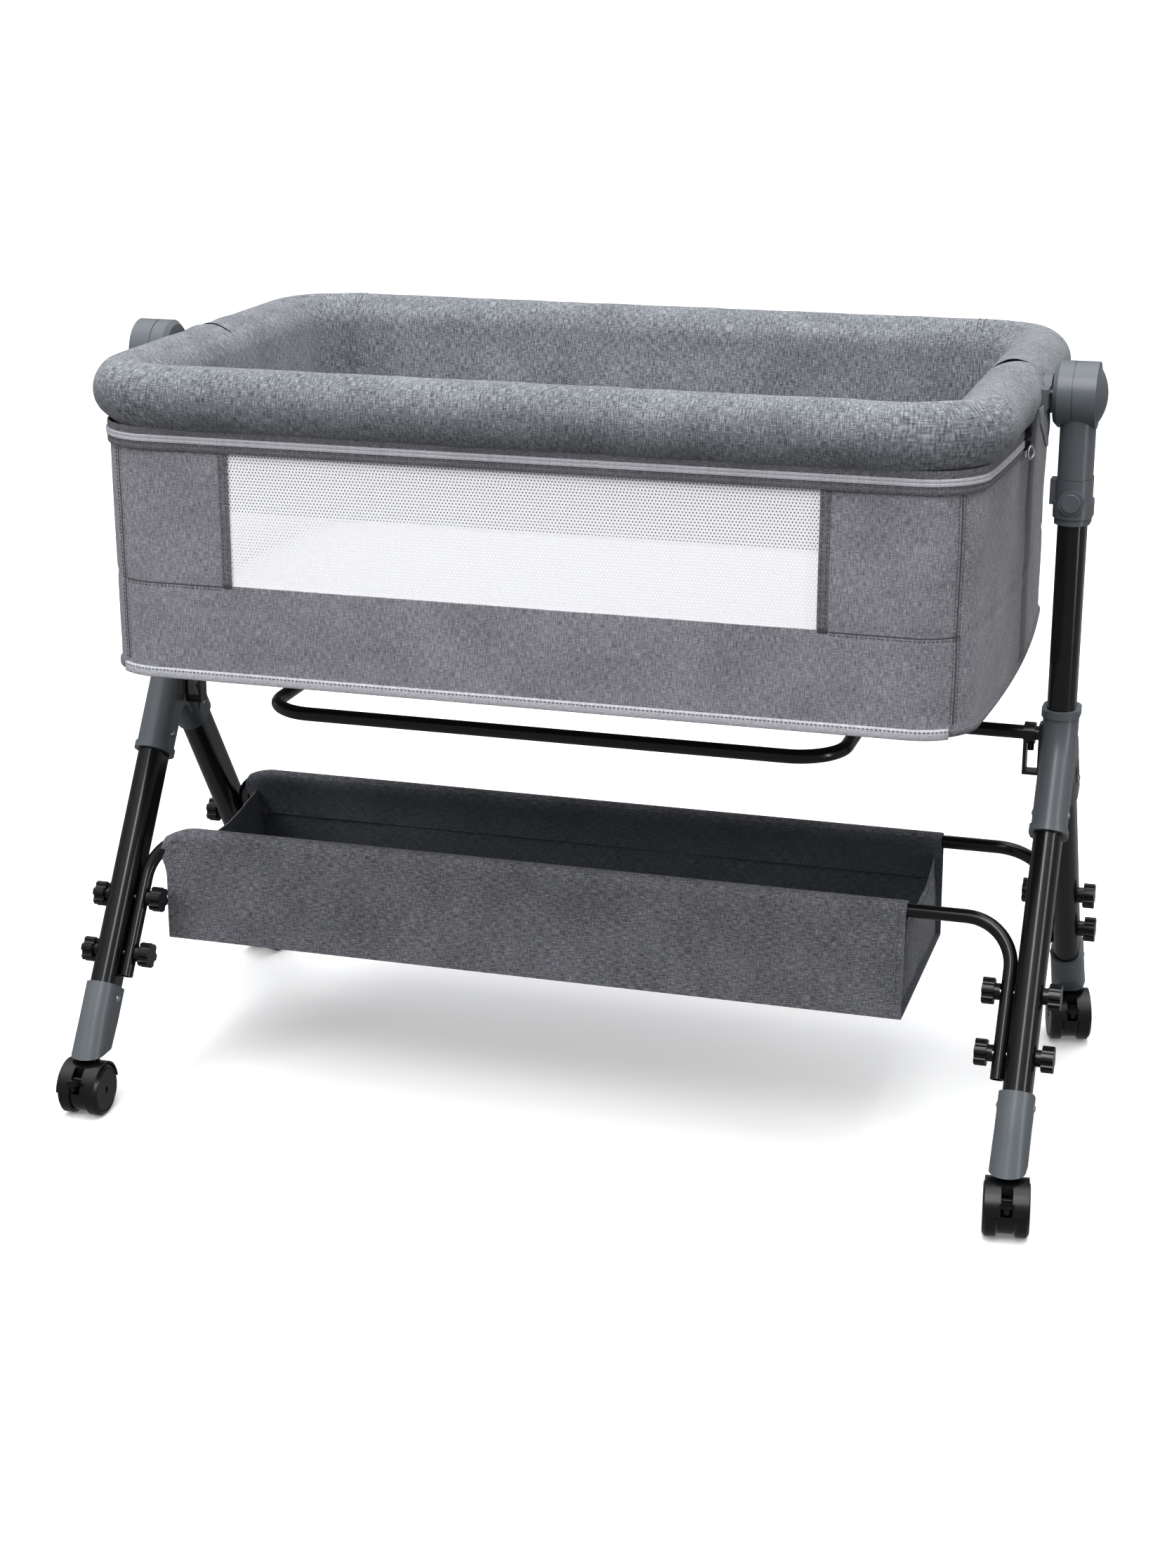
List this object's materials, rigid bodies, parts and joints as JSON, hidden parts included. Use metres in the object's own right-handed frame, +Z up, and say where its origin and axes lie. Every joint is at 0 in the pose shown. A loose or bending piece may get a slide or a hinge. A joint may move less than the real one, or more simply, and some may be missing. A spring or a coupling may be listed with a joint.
{
  "type": "bedside sleeper crib",
  "caption": "Bedside baby crib: a fabric bassinet with padded rails, mesh windows and a fold-down front, on A-frame ends with height adjusters and casters.",
  "frame": {"origin": "on the floor, midway between the two A-frame ends and between the front and rear casters", "axes": "+Z up, +X along the crib to the end that is on the right seen from the front, +Y from the front (the side that folds down) to the back"},
  "size_m": [0.9282, 0.526, 0.721],
  "materials": {
    "black_tube": "gloss",
    "slate_plastic": "matte",
    "black_plastic": "gloss",
    "steel": "satin",
    "grey_fabric": "matte",
    "dark_fabric": "matte",
    "white_mesh": "matte",
    "mattress_white": "matte",
    "light_binding": "satin",
    "board": "matte",
    "rail_tube": "satin"
  },
  "bodies": {
    "stand": {"right_main_tube": "black_tube", "left_main_tube": "black_tube", "right_rear_leg_tube": "black_tube", "left_rear_leg_tube": "black_tube", "right_yoke": "slate_plastic", "left_yoke": "slate_plastic", "rivets": "steel", "right_front_foot_cover": "slate_plastic", "left_front_foot_cover": "slate_plastic", "right_rear_foot_cover": "slate_plastic", "left_rear_foot_cover": "slate_plastic", "cross_bar": "black_tube", "cross_bar_brackets": "black_tube", "under_bar": "black_tube", "under_bar_clamps": "black_plastic", "basket_front_bar": "black_tube", "basket_rear_bar": "black_tube", "storage_basket": "dark_fabric", "star_knobs": "black_plastic", "through_bolts": "steel", "right_height_collar": "slate_plastic", "left_height_collar": "slate_plastic"},
    "bassinet": {"right_inner_tube": "steel", "left_inner_tube": "steel", "right_hub": "slate_plastic", "left_hub": "slate_plastic", "hub_pins": "steel", "rear_rail_tube": "rail_tube", "rear_rail_pad": "grey_fabric", "rear_rail_knuckles": "slate_plastic", "body_shell": "grey_fabric", "rear_mesh": "white_mesh", "front_panel": "grey_fabric", "front_mesh": "white_mesh", "base_board": "board", "mattress": "mattress_white", "bottom_binding": "light_binding"},
    "front_rail": {"front_rail_tube": "rail_tube", "front_rail_pad": "grey_fabric", "front_rail_knuckles": "slate_plastic", "zipper": "light_binding"},
    "right_hub_release": {"right_hub_button": "slate_plastic"},
    "left_hub_release": {"left_hub_button": "slate_plastic"},
    "right_height_release": {"right_height_button": "slate_plastic"},
    "left_height_release": {"left_height_button": "slate_plastic"},
    "front_left_caster": {"front_left_caster_hood": "black_plastic"},
    "front_left_wheels": {"front_left_caster_wheels": "black_plastic"},
    "front_left_brake": {"front_left_brake_lever": "black_plastic"},
    "front_right_caster": {"front_right_caster_hood": "black_plastic"},
    "front_right_wheels": {"front_right_caster_wheels": "black_plastic"},
    "front_right_brake": {"front_right_brake_lever": "black_plastic"},
    "rear_left_caster": {"rear_left_caster_hood": "black_plastic"},
    "rear_left_wheels": {"rear_left_caster_wheels": "black_plastic"},
    "rear_left_brake": {"rear_left_brake_lever": "black_plastic"},
    "rear_right_caster": {"rear_right_caster_hood": "black_plastic"},
    "rear_right_wheels": {"rear_right_caster_wheels": "black_plastic"},
    "rear_right_brake": {"rear_right_brake_lever": "black_plastic"}
  },
  "joints": [
    {"name": "bassinet_height", "type": "slide", "parent": "stand", "child": "bassinet", "axis": [0, 0, 1], "range_m": [0, 0.125]},
    {"name": "front_rail_fold", "type": "hinge", "parent": "bassinet", "child": "front_rail", "pos_m": [0, 0, 0.692], "axis": [1, 0, 0], "range_deg": [0, 40], "deforming": ["front_panel", "front_mesh"]},
    {"name": "right_hub_press", "type": "slide", "parent": "bassinet", "child": "right_hub_release", "axis": [-1, 0, 0], "range_m": [0, 0.003], "stiffness_N_per_m": 2000},
    {"name": "left_hub_press", "type": "slide", "parent": "bassinet", "child": "left_hub_release", "axis": [1, 0, 0], "range_m": [0, 0.003], "stiffness_N_per_m": 2000},
    {"name": "right_height_press", "type": "slide", "parent": "stand", "child": "right_height_release", "axis": [0, 1, 0], "range_m": [0, 0.0025], "stiffness_N_per_m": 2000},
    {"name": "left_height_press", "type": "slide", "parent": "stand", "child": "left_height_release", "axis": [0, 1, 0], "range_m": [0, 0.0025], "stiffness_N_per_m": 2000},
    {"name": "front_left_swivel", "type": "hinge", "parent": "stand", "child": "front_left_caster", "pos_m": [-0.436, -0.222, 0.06], "axis": [0, 0, 1], "continuous": true},
    {"name": "front_left_roll", "type": "hinge", "parent": "front_left_caster", "child": "front_left_wheels", "pos_m": [-0.436, -0.232, 0.025], "axis": [1, 0, 0], "continuous": true},
    {"name": "front_left_brake_press", "type": "hinge", "parent": "front_left_caster", "child": "front_left_brake", "pos_m": [-0.436, -0.249, 0.038], "axis": [1, 0, 0], "range_deg": [0, 18]},
    {"name": "front_right_swivel", "type": "hinge", "parent": "stand", "child": "front_right_caster", "pos_m": [0.436, -0.222, 0.06], "axis": [0, 0, 1], "continuous": true},
    {"name": "front_right_roll", "type": "hinge", "parent": "front_right_caster", "child": "front_right_wheels", "pos_m": [0.43739, -0.2319, 0.025], "axis": [0.9903, 0.1392, 0], "continuous": true},
    {"name": "front_right_brake_press", "type": "hinge", "parent": "front_right_caster", "child": "front_right_brake", "pos_m": [0.43976, -0.24874, 0.038], "axis": [0.9903, 0.1392, 0], "range_deg": [0, 18]},
    {"name": "rear_left_swivel", "type": "hinge", "parent": "stand", "child": "rear_left_caster", "pos_m": [-0.436, 0.222, 0.06], "axis": [0, 0, 1], "continuous": true},
    {"name": "rear_left_roll", "type": "hinge", "parent": "rear_left_caster", "child": "rear_left_wheels", "pos_m": [-0.43808, 0.21222, 0.025], "axis": [0.9781, -0.2079, 0], "continuous": true},
    {"name": "rear_left_brake_press", "type": "hinge", "parent": "rear_left_caster", "child": "rear_left_brake", "pos_m": [-0.44161, 0.19559, 0.038], "axis": [0.9781, -0.2079, 0], "range_deg": [0, 18]},
    {"name": "rear_right_swivel", "type": "hinge", "parent": "stand", "child": "rear_right_caster", "pos_m": [0.436, 0.222, 0.06], "axis": [0, 0, 1], "continuous": true},
    {"name": "rear_right_roll", "type": "hinge", "parent": "rear_right_caster", "child": "rear_right_wheels", "pos_m": [0.43859, 0.21234, 0.025], "axis": [0.9659, 0.2588, 0], "continuous": true},
    {"name": "rear_right_brake_press", "type": "hinge", "parent": "rear_right_caster", "child": "rear_right_brake", "pos_m": [0.44299, 0.19592, 0.038], "axis": [0.9659, 0.2588, 0], "range_deg": [0, 18]}
  ]
}
